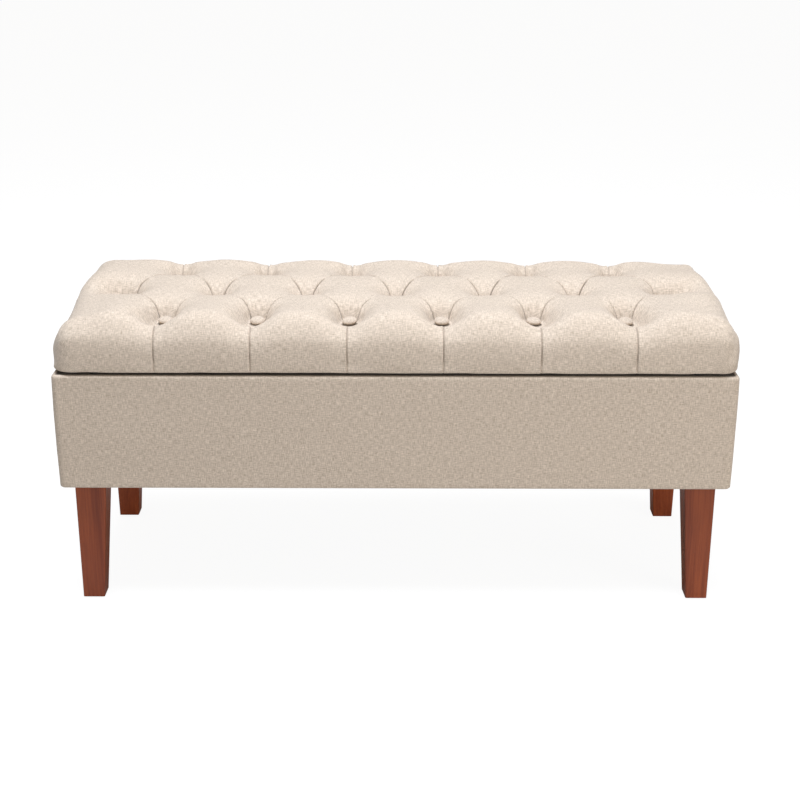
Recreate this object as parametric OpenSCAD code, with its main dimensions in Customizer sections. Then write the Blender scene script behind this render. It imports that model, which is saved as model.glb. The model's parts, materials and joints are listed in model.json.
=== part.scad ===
// Upholstered storage bench. A fabric-covered box stands on four tapered legs, and its
// button-tufted lid is hung on two butt hinges and held open by two folding stays.
// Origin: on the floor under the middle of the bench. +X to the right, +Y to the rear, +Z up.
// Left and right are as seen from the front.

/* [Bench] */
// Width over the fabric
bench_w = 1070; // [1000:10:1200]
// Depth over the fabric
bench_d = 400; // [380:10:460]
// Height of the underside above the floor
leg_h = 205; // [150:5:250]
// Height of the upholstered box
box_h = 190; // [190:5:240]
// Height of the lid, from its underside to the top of its pillows
lid_h = 90; // [84:1:100]

/* [Legs] */
// Width of a leg where it meets the box
leg_top_w = 50; // [46:1:60]
// Width of a leg at the foot
leg_foot_w = 35; // [30:1:40]
// Distance from the fabric to the outer faces of a leg
leg_inset = 20; // [16:1:24]

/* [Tufting] */
// Distance between neighbouring buttons of the middle and rear rows, and of the front row
button_pitch = 149; // [130:1:150]
front_button_pitch = 147; // [130:1:150]
// Distance of the front, middle and rear rows behind the middle of the bench
front_row_y = -100; // [-110:1:-90]
middle_row_y = 8; // [-10:1:15]
rear_row_y = 130; // [105:1:132]
// Buttons in the front and rear rows; the middle row has one more
row_count = 6; // [3:1:6]
// Diameter of a covered button
button_d = 22; // [18:1:26]
// Depth of a button's well below the pillows
well_depth = 38; // [30:1:42]

/* [Hinges and stays] */
// Distance of each hinge from the middle of the bench
hinge_x = 330; // [250:10:400]
// Length of a hinge leaf along its pin
hinge_len = 60; // [50:5:80]
// Length of each stay arm between its pivots
arm_len = 130; // [110:5:130]
// Angle between the arms of a stay when the lid is shut
fold_angle = 70; // [66:1:72]
// Angle to which the lid opens
open_angle = 95; // [85:1:100]

/* [Hidden] */

$fn = 48;
LEFT = -1;
RIGHT = 1;
FRONT = -1;
REAR = 1;
CORNERS = [[LEFT, FRONT], [RIGHT, FRONT], [LEFT, REAR], [RIGHT, REAR]];

linen = [0.80, 0.74, 0.66];
stained_wood = [0.42, 0.20, 0.13];
plywood = [0.78, 0.66, 0.48];
foam_white = [0.92, 0.90, 0.84];
nonwoven = [0.10, 0.10, 0.11];
steel = [0.68, 0.68, 0.70];
zinc = [0.76, 0.74, 0.66];

slack = 0.1;        // gap between pieces that only lie against each other
running = 0.05;     // radial clearance of a pivot in its hole
stand_off = 0.3;    // gap between pieces that move past each other
through = 1;        // how far a cutting tool runs past the piece it cuts

// Layers of the upholstery, from the outside in
skin_t = 1.5;
padding_t = 5;
panel_t = 15;
lining_t = 1;
wood_inset = skin_t + padding_t;
wall_t = wood_inset + panel_t;

// Levels of the box, from the floor up
dust_z = leg_h;
base_z = dust_z + lining_t;
panel_z = base_z + skin_t;
block_h = 28.5;
bottom_z = panel_z + block_h;
bottom_t = 9;
floor_z = bottom_z + bottom_t;
rim_z = leg_h + box_h;
panel_top = rim_z - skin_t;
panel_h = panel_top - panel_z;
panel_ease = 0.3; // clear of the cover's rounded inside at the long panels' edges
inner_w = bench_w - 2 * wall_t;
inner_d = bench_d - 2 * wall_t;
wood_w = bench_w - 2 * wood_inset;
wood_d = bench_d - 2 * wood_inset;

// Rounding of the upholstery
base_corner_r = 10;
base_edge_r = 6;
seat_corner_r = 30;
seat_shoulder_r = 42;
seat_hem_r = 8;

// Fabric turned under and in
base_turn_under = 30;
inner_lip_h = 25;
lid_turn_under = 45;

// Lid
barrel_r = 2.5;
lid_z = rim_z + 2 * barrel_r;
lid_top = lid_z + lid_h;
board_t = 12;
board_z = lid_z + skin_t + slack;
board_inset = 8.5;

// Tufting
well_z = lid_top - well_depth;
well_floor_r = button_d / 2 + 1.5;
well_mouth_r = 36;
button_h = 7;
twine_r = 1;
twine_hole_r = 1.4;

// Legs and what fastens them
leg_edge_r = 2.5;
glide_t = 3;
glide_r = 11;
glide_nail_r = 1.2;
glide_nail_len = 15;
bolt_r = 3.9;
bolt_in_leg = 35;
bolt_in_block = 27;
nut_barrel_r = 5.4;
nut_flange_r = 10.9;
nut_flange_t = 1.4;
nut_len = 11.4;
block_w = 70;
bolt_x = bench_w / 2 - leg_inset - leg_top_w / 2;
bolt_y = bench_d / 2 - leg_inset - leg_top_w / 2;
foot_x = bench_w / 2 - leg_inset - leg_foot_w / 2;
foot_y = bench_d / 2 - leg_inset - leg_foot_w / 2;

// Wood screws: shank, head and length
screw_r = 1.6;
screw_hole_r = 1.7;
screw_head_r = 3;
panel_screw_len = 40;
panel_screw_count = 3;

// Hinges
leaf_t = 1.5;
leaf_w = 20;
leaf_gap = 2.8;     // from the axis to the plate, so that the other leaf's knuckles pass
knuckle_r = 2.45;
knuckle_count = 5;
pin_r = 1.25;
leaf_screw_y = 11.5;
leaf_screw_pitch = 20;
axis_y = bench_d / 2 - barrel_r;
axis_z = rim_z + barrel_r;

// Folding stays. The four pivots form a rhombus with the hinge axis, so each arm stays
// parallel to one side of it and turns at the lid's own rate.
arm_t = 2;
arm_w = 15;
rivet_r = 3;
rivet_head_r = 5;
rivet_head_t = 1.2;
lid_pivot_drop = 9;
stay_x = inner_w / 2 - lining_t;               // inner face of the end lining
lower_x = stay_x - 2 - stand_off;              // outer face of the lower arm
upper_x = lower_x - arm_t - stand_off;         // outer face of the upper arm
lid_pivot_angle = asin(lid_pivot_drop / arm_len);
lid_pivot = [axis_y - arm_len * cos(lid_pivot_angle), axis_z - lid_pivot_drop];
base_pivot = [axis_y - arm_len * cos(lid_pivot_angle + fold_angle),
              axis_z - arm_len * sin(lid_pivot_angle + fold_angle)];
knee_pivot = [base_pivot[0] + lid_pivot[0] - axis_y, base_pivot[1] + lid_pivot[1] - axis_z];
bracket_w = 28;
bracket_h = 44;
foot_plate_w = 16;
foot_plate_len = 42;
stop_pin_r = 1.5;
stop_reach = 16;    // from the knee along the upper arm to where it meets the stop pin
stop_angle = fold_angle + open_angle;

// ---------------------------------------------------------------- shared shapes

// A padded block with rounded upright corners and a rounded lower and upper edge.
module soft_block(w, d, z0, z1, corner_r, low_r, high_r) {
    steps = 6;
    slice_t = 0.01;
    angles = [for (i = [0 : steps]) 90 * i / steps];
    low = [for (a = angles) [z0 + low_r * (1 - cos(a)), low_r * (1 - sin(a))]];
    high = [for (a = angles) [z1 - slice_t - high_r * (1 - cos(a)), high_r * (1 - sin(a))]];
    hull()
        for (slice = concat(low, high), c = CORNERS) {
            r = max(corner_r - slice[1], 1);
            translate([c[0] * (w / 2 - slice[1] - r), c[1] * (d / 2 - slice[1] - r), slice[0]])
                cylinder(r = r, h = slice_t, $fn = 32);
        }
}

module box_block(w, d, z0, z1) {
    translate([-w / 2, -d / 2, z0]) cube([w, d, z1 - z0]);
}

// A cylinder along X that starts at x and runs to the right.
module x_cylinder(x, at, r, h) {
    translate([x, at[0], at[1]]) rotate([0, 90, 0]) cylinder(r = r, h = h);
}

// A countersunk wood screw. Its head is flush at the origin and it points along +Z.
module screw(len) {
    head_h = screw_head_r - screw_r;
    union() {
        cylinder(r1 = screw_head_r, r2 = screw_r, h = head_h);
        cylinder(r = screw_r, h = len - screw_r);
        translate([0, 0, len - screw_r]) cylinder(r1 = screw_r, r2 = 0.4, h = screw_r);
    }
}

// The hole for that screw, a little wider all over.
module screw_hole(len) {
    head_h = screw_head_r - screw_r;
    play = screw_hole_r - screw_r;
    translate([0, 0, -through]) cylinder(r = screw_head_r + play, h = through);
    cylinder(r1 = screw_head_r + play, r2 = screw_hole_r, h = head_h);
    cylinder(r = screw_hole_r, h = len + play);
}

// ---------------------------------------------------------------- where fasteners go

module at_panel_screws() {
    screw_x = inner_w / 2 + panel_t / 2;
    for (side = [LEFT, RIGHT], end = [FRONT, REAR], i = [0 : panel_screw_count - 1])
        translate([side * screw_x, end * wood_d / 2, panel_z + panel_h * (2 * i + 1) / (2 * panel_screw_count)])
            rotate([end * 90, 0, 0]) children();
}

// Screws of both hinges; up is 1 into the lid and -1 into the box.
module at_leaf_screws(up) {
    face_z = axis_z + up * (barrel_r - leaf_t);
    for (side = [LEFT, RIGHT], i = [-1 : 1])
        translate([side * hinge_x + i * leaf_screw_pitch, axis_y - leaf_screw_y, face_z])
            mirror([0, 0, up < 0 ? 1 : 0]) children();
}

module at_stay_base_screws() {
    for (side = [LEFT, RIGHT], at = [[-8, 15], [8, 15], [0, -15]])
        translate([side * (stay_x - 2), base_pivot[0] + at[0], base_pivot[1] + at[1]])
            rotate([0, side * 90, 0]) children();
}

module at_stay_lid_screws() {
    for (side = [LEFT, RIGHT], dy = [-13, 13])
        translate([side * (upper_x - 5), lid_pivot[0] + dy, lid_z - leaf_t]) children();
}

// Places of the buttons in one row: -1 front, 0 middle, 1 rear.
function row_xs(row) =
    let (n = row == 0 ? row_count + 1 : row_count,
         pitch = row < 0 ? front_button_pitch : button_pitch)
    [for (i = [0 : n - 1]) (i - (n - 1) / 2) * pitch];

row_ys = [front_row_y, middle_row_y, rear_row_y];

module at_buttons(row) {
    for (x = row_xs(row)) translate([x, row_ys[row + 1], well_z]) children();
}

module at_all_buttons() {
    for (row = [-1 : 1]) at_buttons(row) children();
}

module at_bolts() {
    for (c = CORNERS) translate([c[0] * bolt_x, c[1] * bolt_y, 0]) children();
}

// ---------------------------------------------------------------- box

module long_panel(end) {
    y = end > 0 ? wood_d / 2 - panel_t : -wood_d / 2;
    color(plywood) difference() {
        translate([-wood_w / 2, y, panel_z + panel_ease]) cube([wood_w, panel_t, panel_h - 2 * panel_ease]);
        at_panel_screws() screw_hole(panel_screw_len);
        if (end > 0) at_leaf_screws(-1) screw_hole(16);
    }
}

module end_panel(side) {
    x = side > 0 ? inner_w / 2 : -inner_w / 2 - panel_t;
    color(plywood) difference() {
        translate([x, -inner_d / 2 + slack, panel_z]) cube([panel_t, inner_d - 2 * slack, panel_h]);
        at_panel_screws() screw_hole(panel_screw_len);
        at_stay_base_screws() screw_hole(14);
    }
}

module bottom_panel() {
    color(plywood) box_block(inner_w - 2 * slack, inner_d - 2 * slack, bottom_z, floor_z);
}

module cleat(end) {
    cleat_w = 20;
    y = end > 0 ? inner_d / 2 - slack - cleat_w : -inner_d / 2 + slack;
    len = inner_w - 2 * (block_w + 2 * slack);
    color(plywood) translate([-len / 2, y, panel_z + slack]) cube([len, cleat_w, block_h - 2 * slack]);
}

module corner_block(c) {
    x = c[0] * (inner_w / 2 - slack - block_w / 2);
    y = c[1] * (inner_d / 2 - slack - block_w / 2);
    nut_hole_r = nut_barrel_r + slack;
    nut_hole_h = nut_len - nut_flange_t + slack;
    flange_z = bottom_z - nut_flange_t - 2 * slack;
    color(plywood) difference() {
        translate([x - block_w / 2, y - block_w / 2, panel_z + slack])
            cube([block_w, block_w, block_h - 2 * slack]);
        translate([c[0] * bolt_x, c[1] * bolt_y, 0]) {
            translate([0, 0, panel_z]) cylinder(r = bolt_r + 0.6, h = block_h);
            translate([0, 0, flange_z - nut_hole_h]) cylinder(r = nut_hole_r, h = nut_hole_h + through);
            translate([0, 0, flange_z]) cylinder(r = nut_flange_r + slack, h = nut_flange_t + through);
        }
    }
}

// The foam sheet on one side of the box, cut from the shape that the cover leaves inside.
module padding(w, d, at) {
    inset = skin_t + slack;
    color(foam_white) intersection() {
        soft_block(bench_w - 2 * inset, bench_d - 2 * inset, base_z + inset, rim_z - inset,
                   base_corner_r - skin_t, base_edge_r - skin_t, base_edge_r - skin_t);
        translate([at[0] - w / 2, at[1] - d / 2, base_z]) cube([w, d, box_h]);
    }
}

module long_padding(end) {
    t = padding_t - 2 * slack;
    padding(bench_w, t, [0, end * (bench_d / 2 - skin_t - slack - t / 2)]);
}

module end_padding(side) {
    t = padding_t - 2 * slack;
    padding(t, wood_d - 2 * slack, [side * (bench_w / 2 - skin_t - slack - t / 2), 0]);
}

// The fabric runs over the rim, a short way down inside, and under the lower edge.
module base_cover() {
    color(linen) difference() {
        union() {
            difference() {
                soft_block(bench_w, bench_d, base_z, rim_z, base_corner_r, base_edge_r, base_edge_r);
                soft_block(bench_w - 2 * skin_t, bench_d - 2 * skin_t, panel_z, panel_top,
                           base_corner_r - skin_t, base_edge_r - skin_t, base_edge_r - skin_t);
            }
            box_block(inner_w, inner_d, panel_top - inner_lip_h, rim_z - slack);
        }
        box_block(inner_w - 2 * lining_t, inner_d - 2 * lining_t, panel_z, rim_z + through);
        box_block(bench_w - 2 * base_turn_under, bench_d - 2 * base_turn_under, base_z - through, panel_z + through);
        at_leaf_screws(-1) screw_hole(16);
    }
}

module base_lining() {
    top = panel_top - inner_lip_h - 2 * slack;
    color(nonwoven) difference() {
        box_block(inner_w - 2 * slack, inner_d - 2 * slack, floor_z + slack, top);
        box_block(inner_w - 2 * lining_t, inner_d - 2 * lining_t, floor_z + slack + lining_t, top + through);
        at_stay_base_screws() screw_hole(14);
    }
}

module dust_cover() {
    margin = 12;
    color(nonwoven) difference() {
        box_block(bench_w - 2 * margin, bench_d - 2 * margin, dust_z + slack, base_z - slack);
        at_bolts() translate([0, 0, dust_z]) cylinder(r = bolt_r + 0.6, h = 2 * lining_t);
    }
}

module panel_screws() {
    color(zinc) at_panel_screws() screw(panel_screw_len);
}

// ---------------------------------------------------------------- legs

// The outer faces of a leg are upright, and the two inner faces taper.
module leg(c) {
    end_h = 2;
    top_end = [leg_h - end_h, bolt_x, bolt_y, leg_top_w];
    foot_end = [glide_t, foot_x, foot_y, leg_foot_w];
    color(stained_wood) difference() {
        hull()
            for (end = [top_end, foot_end], k = CORNERS)
                translate([c[0] * end[1] + k[0] * (end[3] / 2 - leg_edge_r),
                           c[1] * end[2] + k[1] * (end[3] / 2 - leg_edge_r), end[0]])
                    cylinder(r = leg_edge_r, h = end_h, $fn = 32);
        translate([c[0] * bolt_x, c[1] * bolt_y, leg_h - bolt_in_leg - 2])
            cylinder(r = bolt_r + slack, h = bolt_in_leg + 2 + through);
        translate([c[0] * foot_x, c[1] * foot_y, glide_t - through])
            cylinder(r = glide_nail_r + running, h = glide_nail_len + through + slack);
    }
}

module leg_bolts() {
    color(zinc) at_bolts() translate([0, 0, leg_h - bolt_in_leg]) cylinder(r = bolt_r, h = bolt_in_leg + bolt_in_block);
}

module tee_nuts() {
    top = bottom_z - slack;
    color(zinc) at_bolts() difference() {
        union() {
            translate([0, 0, top - nut_len]) cylinder(r = nut_barrel_r, h = nut_len - slack);
            translate([0, 0, top - nut_flange_t]) cylinder(r = nut_flange_r, h = nut_flange_t);
        }
        translate([0, 0, top - nut_len - through]) cylinder(r = bolt_r + slack, h = nut_len + 2 * through);
    }
}

module leg_glides() {
    rim = 0.8;
    color(nonwoven)
        for (c = CORNERS) translate([c[0] * foot_x, c[1] * foot_y, 0]) union() {
            cylinder(r1 = glide_r - rim, r2 = glide_r, h = rim);
            translate([0, 0, rim]) cylinder(r = glide_r, h = glide_t - slack - rim);
            cylinder(r = glide_nail_r, h = glide_t + glide_nail_len);
        }
}

// ---------------------------------------------------------------- hinges

// One leaf about the pin, which lies along X through the origin. up is 1 for the lid's
// leaf and -1 for the box's. The knuckles of the two leaves take turns.
module hinge_leaf(up) {
    pitch = hinge_len / knuckle_count;
    first = up < 0 ? 0 : 1;
    plate_z = up > 0 ? barrel_r - leaf_t : -barrel_r;
    difference() {
        union() {
            translate([-hinge_len / 2, -leaf_w, plate_z]) cube([hinge_len, leaf_w - leaf_gap, leaf_t]);
            for (i = [first : 2 : knuckle_count - 1]) {
                x = -hinge_len / 2 + i * pitch + (i == 0 ? 0 : stand_off / 2);
                len = pitch - (i == 0 || i == knuckle_count - 1 ? stand_off / 2 : stand_off);
                x_cylinder(x, [0, 0], knuckle_r, len);
                translate([x, -leaf_gap - through, plate_z]) cube([len, leaf_gap + through, leaf_t]);
            }
        }
        x_cylinder(-hinge_len, [0, 0], pin_r + running, 2 * hinge_len);
    }
}

module placed_leaf(side, up) {
    color(steel) difference() {
        translate([side * hinge_x, axis_y, axis_z]) hinge_leaf(up);
        at_leaf_screws(up) screw_hole(16);
    }
}

module hinge_pin(side) {
    head_t = 0.8;
    color(zinc) translate([side * hinge_x, 0, 0]) union() {
        x_cylinder(-hinge_len / 2 - head_t, [axis_y, axis_z], pin_r, hinge_len + 2 * head_t);
        for (x = [-hinge_len / 2 - head_t - slack, hinge_len / 2 + slack])
            x_cylinder(x, [axis_y, axis_z], pin_r + 0.7, head_t);
    }
}

module hinge_base_screws() {
    color(zinc) at_leaf_screws(-1) screw(16);
}

module hinge_lid_screws() {
    color(zinc) at_leaf_screws(1) screw(12);
}

// ---------------------------------------------------------------- folding stays

// Both stays are drawn on the right; the left one is the mirror image.
module on_side(side) {
    mirror([side < 0 ? 1 : 0, 0, 0]) children();
}

module pivot_hole(at) {
    x_cylinder(0, at, rivet_r + running, bench_w / 2);
}

module stay_base_bracket(side) {
    color(steel) difference() {
        on_side(side) difference() {
            translate([stay_x - 2, base_pivot[0] - bracket_w / 2, base_pivot[1] - bracket_h / 2])
                cube([2 - slack, bracket_w, bracket_h]);
            pivot_hole(base_pivot);
        }
        at_stay_base_screws() screw_hole(14);
    }
}

// A shouldered rivet through two layers, from the inner head at x0 to x1. A head is made
// at x1 as well when outer_head is true.
module rivet(at, x0, x1, outer_head) {
    color(zinc) union() {
        x_cylinder(x0, at, rivet_r, x1 - x0);
        x_cylinder(x0 - rivet_head_t, at, rivet_head_r, rivet_head_t);
        if (outer_head) x_cylinder(x1, at, rivet_head_r, 1);
    }
}

module stay_base_pivot(side) {
    on_side(side) rivet(base_pivot, lower_x - arm_t - 0.2, stay_x - 2 * slack, false);
}

module stay_knee_pivot(side) {
    on_side(side) rivet(knee_pivot, upper_x - arm_t - 0.2, lower_x + 0.2, true);
}

module stay_lid_pivot(side) {
    on_side(side) rivet(lid_pivot, upper_x - arm_t - 0.2, lower_x + 0.2, true);
}

// The lower arm runs on past the knee to carry the pin that stops the upper arm.
module stay_lower_arm(side) {
    to_base = atan2(base_pivot[1] - knee_pivot[1], base_pivot[0] - knee_pivot[0]);
    stop_off = arm_w / 2 + stop_pin_r + 0.2;
    stop_dir = to_base + stop_angle;
    stop = [knee_pivot[0] + stop_reach * cos(stop_dir) - stop_off * sin(stop_dir),
            knee_pivot[1] + stop_reach * sin(stop_dir) + stop_off * cos(stop_dir)];
    color(steel) on_side(side) difference() {
        union() {
            hull() {
                for (at = [base_pivot, knee_pivot])
                    translate([lower_x - arm_t, at[0], at[1]]) rotate([0, 90, 0])
                        cylinder(r = arm_w / 2, h = arm_t, $fn = 32);
                translate([lower_x - arm_t, stop[0], stop[1]]) rotate([0, 90, 0])
                    cylinder(r = 4, h = arm_t, $fn = 32);
            }
            x_cylinder(upper_x - arm_t, stop, stop_pin_r, lower_x - upper_x + arm_t - slack);
        }
        pivot_hole(base_pivot);
        pivot_hole(knee_pivot);
    }
}

module stay_upper_arm(side) {
    color(steel) on_side(side) difference() {
        hull()
            for (at = [lid_pivot, knee_pivot])
                translate([upper_x - arm_t, at[0], at[1]]) rotate([0, 90, 0])
                    cylinder(r = arm_w / 2, h = arm_t, $fn = 32);
        pivot_hole(lid_pivot);
        pivot_hole(knee_pivot);
    }
}

// A foot under the lid, with an ear that carries the upper arm's pivot.
module stay_lid_bracket(side) {
    foot_x0 = lower_x - foot_plate_w;
    color(steel) difference() {
        on_side(side) difference() {
            union() {
                translate([foot_x0, lid_pivot[0] - foot_plate_len / 2, lid_z - leaf_t])
                    cube([foot_plate_w, foot_plate_len, leaf_t - slack]);
                translate([lower_x - arm_t, lid_pivot[0] - arm_w / 2, lid_pivot[1]])
                    cube([arm_t, arm_w, lid_z - slack - lid_pivot[1]]);
                x_cylinder(lower_x - arm_t, lid_pivot, arm_w / 2 - 0.02, arm_t);
            }
            pivot_hole(lid_pivot);
        }
        at_stay_lid_screws() screw_hole(12);
    }
}

module stay_base_screws() {
    color(zinc) at_stay_base_screws() screw(14);
}

module stay_lid_screws() {
    color(zinc) at_stay_lid_screws() screw(12);
}

// ---------------------------------------------------------------- lid

// The outline of the lid's board, grown all round by grow.
module board_outline(grow) {
    r = seat_corner_r - board_inset + grow;
    w = bench_w - 2 * board_inset + 2 * grow;
    d = bench_d - 2 * board_inset + 2 * grow;
    square([w, d - 2 * r], center = true);
    square([w - 2 * r, d], center = true);
    for (c = CORNERS) translate([c[0] * (w / 2 - r), c[1] * (d / 2 - r)]) circle(r = r);
}

module lid_board() {
    color(plywood) difference() {
        translate([0, 0, board_z]) linear_extrude(board_t) board_outline(0);
        at_all_buttons() translate([0, 0, board_z - well_z - through])
            cylinder(r = twine_hole_r, h = board_t + 2 * through);
        at_leaf_screws(1) screw_hole(12);
        at_stay_lid_screws() screw_hole(12);
    }
}

// The wells of all buttons, widened all round by grow.
module wells(grow) {
    at_all_buttons() translate([0, 0, -grow])
        cylinder(r1 = well_floor_r + grow, r2 = well_mouth_r + grow, h = well_depth + grow + slack);
}

module seat_form(inset) {
    soft_block(bench_w - 2 * inset, bench_d - 2 * inset, lid_z + inset, lid_top - inset,
               seat_corner_r - inset, seat_hem_r - inset, seat_shoulder_r - inset);
}

// The foam lies on the board and laps its edges.
module seat_foam() {
    color(foam_white) difference() {
        seat_form(skin_t + slack);
        translate([0, 0, lid_z]) linear_extrude(board_z + board_t + slack - lid_z) board_outline(slack);
        wells(skin_t + slack);
        at_all_buttons() translate([0, 0, lid_z - well_z]) cylinder(r = twine_hole_r, h = well_z - lid_z);
    }
}

module seat_cover() {
    color(linen) difference() {
        seat_form(0);
        difference() {
            seat_form(skin_t);
            wells(skin_t);
        }
        wells(0);
        box_block(bench_w - 2 * lid_turn_under, bench_d - 2 * lid_turn_under, lid_z - through, lid_z + 2 * skin_t);
        at_all_buttons() translate([0, 0, -2 * skin_t]) cylinder(r = twine_hole_r, h = 3 * skin_t);
        at_leaf_screws(1) screw_hole(12);
        at_stay_lid_screws() screw_hole(12);
    }
}

module lid_lining() {
    edge = lid_turn_under + slack;
    color(nonwoven) box_block(bench_w - 2 * edge, bench_d - 2 * edge, lid_z + skin_t - lining_t, board_z - slack);
}

// A fabric-covered button: a domed cap on a short rim.
module button() {
    r = button_d / 2;
    rim = 2;
    dome_h = button_h - rim;
    dome_r = (r * r + dome_h * dome_h) / (2 * dome_h);
    translate([0, 0, slack]) union() {
        cylinder(r = r, h = rim);
        intersection() {
            translate([0, 0, button_h - dome_r]) sphere(r = dome_r);
            translate([0, 0, rim - slack]) cylinder(r = r, h = button_h);
        }
    }
}

module buttons(row) {
    color(linen) at_buttons(row) button();
}

module button_twines() {
    color(foam_white) at_all_buttons() translate([0, 0, board_z - well_z]) cylinder(r = twine_r, h = well_z - board_z);
}

module lid_bumpers() {
    bumper_r = 6;
    color(nonwoven)
        for (side = [LEFT, RIGHT])
            translate([side * (bench_w / 2 - 65), -bench_d / 2 + 16, rim_z + stand_off])
                cylinder(r = bumper_r, h = lid_z - rim_z - stand_off - slack);
}

// ---------------------------------------------------------------- assembly

long_panel(FRONT);  // front_panel
long_panel(REAR);  // rear_panel
end_panel(LEFT);  // left_end_panel
end_panel(RIGHT);  // right_end_panel
bottom_panel();
cleat(FRONT);  // front_cleat
cleat(REAR);  // rear_cleat
corner_block([LEFT, FRONT]);  // corner_block_front_left
corner_block([RIGHT, FRONT]);  // corner_block_front_right
corner_block([LEFT, REAR]);  // corner_block_rear_left
corner_block([RIGHT, REAR]);  // corner_block_rear_right
long_padding(FRONT);  // front_padding
long_padding(REAR);  // rear_padding
end_padding(LEFT);  // left_end_padding
end_padding(RIGHT);  // right_end_padding
base_cover();
base_lining();
dust_cover();
leg([LEFT, FRONT]);  // leg_front_left
leg([RIGHT, FRONT]);  // leg_front_right
leg([LEFT, REAR]);  // leg_rear_left
leg([RIGHT, REAR]);  // leg_rear_right
leg_bolts();
tee_nuts();
leg_glides();
panel_screws();
placed_leaf(LEFT, -1);  // hinge_base_leaf_left
placed_leaf(RIGHT, -1);  // hinge_base_leaf_right
hinge_pin(LEFT);  // hinge_pin_left
hinge_pin(RIGHT);  // hinge_pin_right
hinge_base_screws();
stay_base_bracket(LEFT);  // stay_base_bracket_left
stay_base_bracket(RIGHT);  // stay_base_bracket_right
stay_base_pivot(LEFT);  // stay_base_pivot_left
stay_base_pivot(RIGHT);  // stay_base_pivot_right
stay_base_screws();
lid_board();
seat_foam();
seat_cover();
lid_lining();
buttons(-1);  // buttons_front_row
buttons(0);  // buttons_middle_row
buttons(1);  // buttons_rear_row
button_twines();
placed_leaf(LEFT, 1);  // hinge_lid_leaf_left
placed_leaf(RIGHT, 1);  // hinge_lid_leaf_right
hinge_lid_screws();
stay_lid_bracket(LEFT);  // stay_lid_bracket_left
stay_lid_bracket(RIGHT);  // stay_lid_bracket_right
stay_lid_pivot(LEFT);  // stay_lid_pivot_left
stay_lid_pivot(RIGHT);  // stay_lid_pivot_right
stay_lid_screws();
lid_bumpers();
stay_lower_arm(LEFT);  // stay_lower_arm_left
stay_lower_arm(RIGHT);  // stay_lower_arm_right
stay_knee_pivot(LEFT);  // stay_knee_pivot_left
stay_knee_pivot(RIGHT);  // stay_knee_pivot_right
stay_upper_arm(LEFT);  // stay_upper_arm_left
stay_upper_arm(RIGHT);  // stay_upper_arm_right
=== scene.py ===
# A button-tufted storage bench in heathered linen, on tapered wooden legs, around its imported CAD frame.
import json
import math
import bmesh
import bpy
import numpy as np
from mathutils import Euler, Matrix, Vector, geometry, kdtree


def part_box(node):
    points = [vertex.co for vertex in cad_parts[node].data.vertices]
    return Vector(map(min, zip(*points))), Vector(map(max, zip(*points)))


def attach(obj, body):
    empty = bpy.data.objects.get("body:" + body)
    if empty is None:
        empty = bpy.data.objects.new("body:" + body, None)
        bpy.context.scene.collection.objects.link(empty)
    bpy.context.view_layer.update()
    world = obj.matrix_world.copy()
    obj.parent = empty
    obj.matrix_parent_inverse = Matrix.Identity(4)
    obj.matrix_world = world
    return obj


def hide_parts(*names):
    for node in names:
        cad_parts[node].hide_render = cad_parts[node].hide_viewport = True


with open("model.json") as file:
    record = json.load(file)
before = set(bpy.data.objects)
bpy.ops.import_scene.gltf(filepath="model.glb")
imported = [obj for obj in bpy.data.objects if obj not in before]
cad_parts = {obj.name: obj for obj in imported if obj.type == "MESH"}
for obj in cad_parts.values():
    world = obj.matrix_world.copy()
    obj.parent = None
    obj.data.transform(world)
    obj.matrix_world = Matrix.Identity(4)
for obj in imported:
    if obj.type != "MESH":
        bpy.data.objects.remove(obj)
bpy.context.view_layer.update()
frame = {"nodes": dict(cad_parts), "record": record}

MM = 0.001

# ---------------------------------------------------------------- sizes, from the frame

seat_lo, seat_hi = (np.array(c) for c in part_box("seat_cover"))
base_lo, base_hi = (np.array(c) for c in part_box("base_cover"))
BOARD_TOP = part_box("lid_board")[1][2]
HALF_W, HALF_D = seat_hi[0], seat_hi[1]
SEAT_TOP, SEAT_BOTTOM = seat_hi[2], seat_lo[2]

# ---------------------------------------------------------------- small helpers


def smoothstep(edge0, edge1, x):
    t = np.clip((x - edge0) / (edge1 - edge0), 0, 1)
    return t * t * (3 - 2 * t)


def mesh_object(name, verts, faces, cloth=None, smooth=True):
    """A mesh object; cloth gives each vertex its place on the flat fabric, in metres, and, as a third
    number where given, how much painted shade darkens it.
    """
    mesh = bpy.data.meshes.new(name)
    mesh.from_pydata([tuple(v) for v in verts], [], [tuple(int(i) for i in f) for f in faces])
    mesh.update()
    if cloth is not None:
        flat = np.zeros((len(verts), 3), np.float32)
        flat[:, : cloth.shape[1]] = cloth
        attribute = mesh.attributes.new("cloth", "FLOAT_VECTOR", "POINT")
        attribute.data.foreach_set("vector", flat.ravel())
    if smooth:
        mesh.polygons.foreach_set("use_smooth", np.ones(len(mesh.polygons), bool))
    obj = bpy.data.objects.new(name, mesh)
    bpy.context.scene.collection.objects.link(obj)
    return obj


def value_noise(x, y, seed, cell):
    """Smooth noise between -1 and 1, with features about cell wide."""
    gen = np.random.default_rng(seed)
    table = gen.uniform(-1, 1, (256, 256))
    gx, gy = x / cell + 1000, y / cell + 1000
    ix, iy = np.floor(gx).astype(int), np.floor(gy).astype(int)
    fx, fy = smoothstep(0, 1, gx - ix), smoothstep(0, 1, gy - iy)
    v00, v10 = table[ix % 256, iy % 256], table[(ix + 1) % 256, iy % 256]
    v01, v11 = table[ix % 256, (iy + 1) % 256], table[(ix + 1) % 256, (iy + 1) % 256]
    return (v00 * (1 - fx) + v10 * fx) * (1 - fy) + (v01 * (1 - fx) + v11 * fx) * fy


# ---------------------------------------------------------------- the lid's form
# The lid's fabric is worked out flat, as it would be cut: (u, v) on the cutting table. Inside the
# core rectangle it lies on top; t, the distance beyond the core, runs over the shoulder, down
# the side, round the hem and under.

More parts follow.
